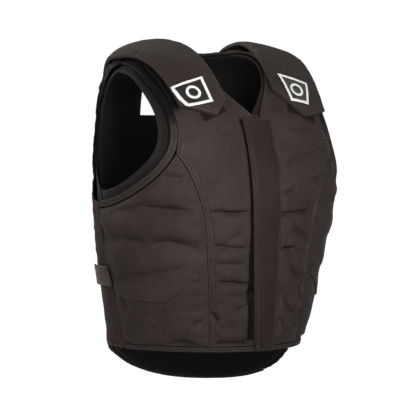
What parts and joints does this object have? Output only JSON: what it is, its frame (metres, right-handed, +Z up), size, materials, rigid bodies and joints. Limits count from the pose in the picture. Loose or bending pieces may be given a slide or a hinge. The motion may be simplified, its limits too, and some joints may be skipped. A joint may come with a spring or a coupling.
{
  "type": "bull riding vest",
  "caption": "Padded front-closing protective riding vest with shoulder straps, curved seams, side gussets, a flap over the zip and a rounded drop tail.",
  "frame": {"origin": "shoulder seat: on the centre plane, level with the underside of the shoulders, where the wearer carries it", "axes": "+Z up, the front faces -Y, +X is towards the wearer's left"},
  "size_m": [0.4094, 0.3056, 0.5595],
  "materials": {
    "shell_nylon": "woven nylon over foam, dark brown, matt",
    "edge_nylon": "folded nylon edge, double stitched",
    "placket_nylon": "woven nylon flap",
    "gusset_knit": "gathered stretch cloth",
    "webbing": "flat nylon webbing",
    "liner_foam": "black lining over foam",
    "loop_tape": "hook-and-loop field",
    "badge_rubber": "moulded patch, white rim on black",
    "label_satin": "white satin label, bare",
    "zip_tape": "woven zip tape"
  },
  "bodies": {
    "root": {"front_centre_right": "shell_nylon", "front_side_right": "shell_nylon", "armhole_band_right": "edge_nylon", "hem_band_right": "edge_nylon", "side_gusset_right": "gusset_knit", "side_keeper_right": "webbing", "waist_tab_right": "shell_nylon", "shoulder_strap_right": "shell_nylon", "strap_badge_right": "badge_rubber", "loop_patch_right": "loop_tape", "liner_front_right": "liner_foam", "front_centre_left": "shell_nylon", "front_side_left": "shell_nylon", "armhole_band_left": "edge_nylon", "hem_band_left": "edge_nylon", "side_gusset_left": "gusset_knit", "side_keeper_left": "webbing", "waist_tab_left": "shell_nylon", "shoulder_strap_left": "shell_nylon", "strap_badge_left": "badge_rubber", "loop_patch_left": "loop_tape", "liner_front_left": "liner_foam", "zip": "zip_tape", "placket": "placket_nylon", "back_panel": "shell_nylon", "liner_back": "liner_foam", "care_label": "label_satin"}
  },
  "joints": []
}
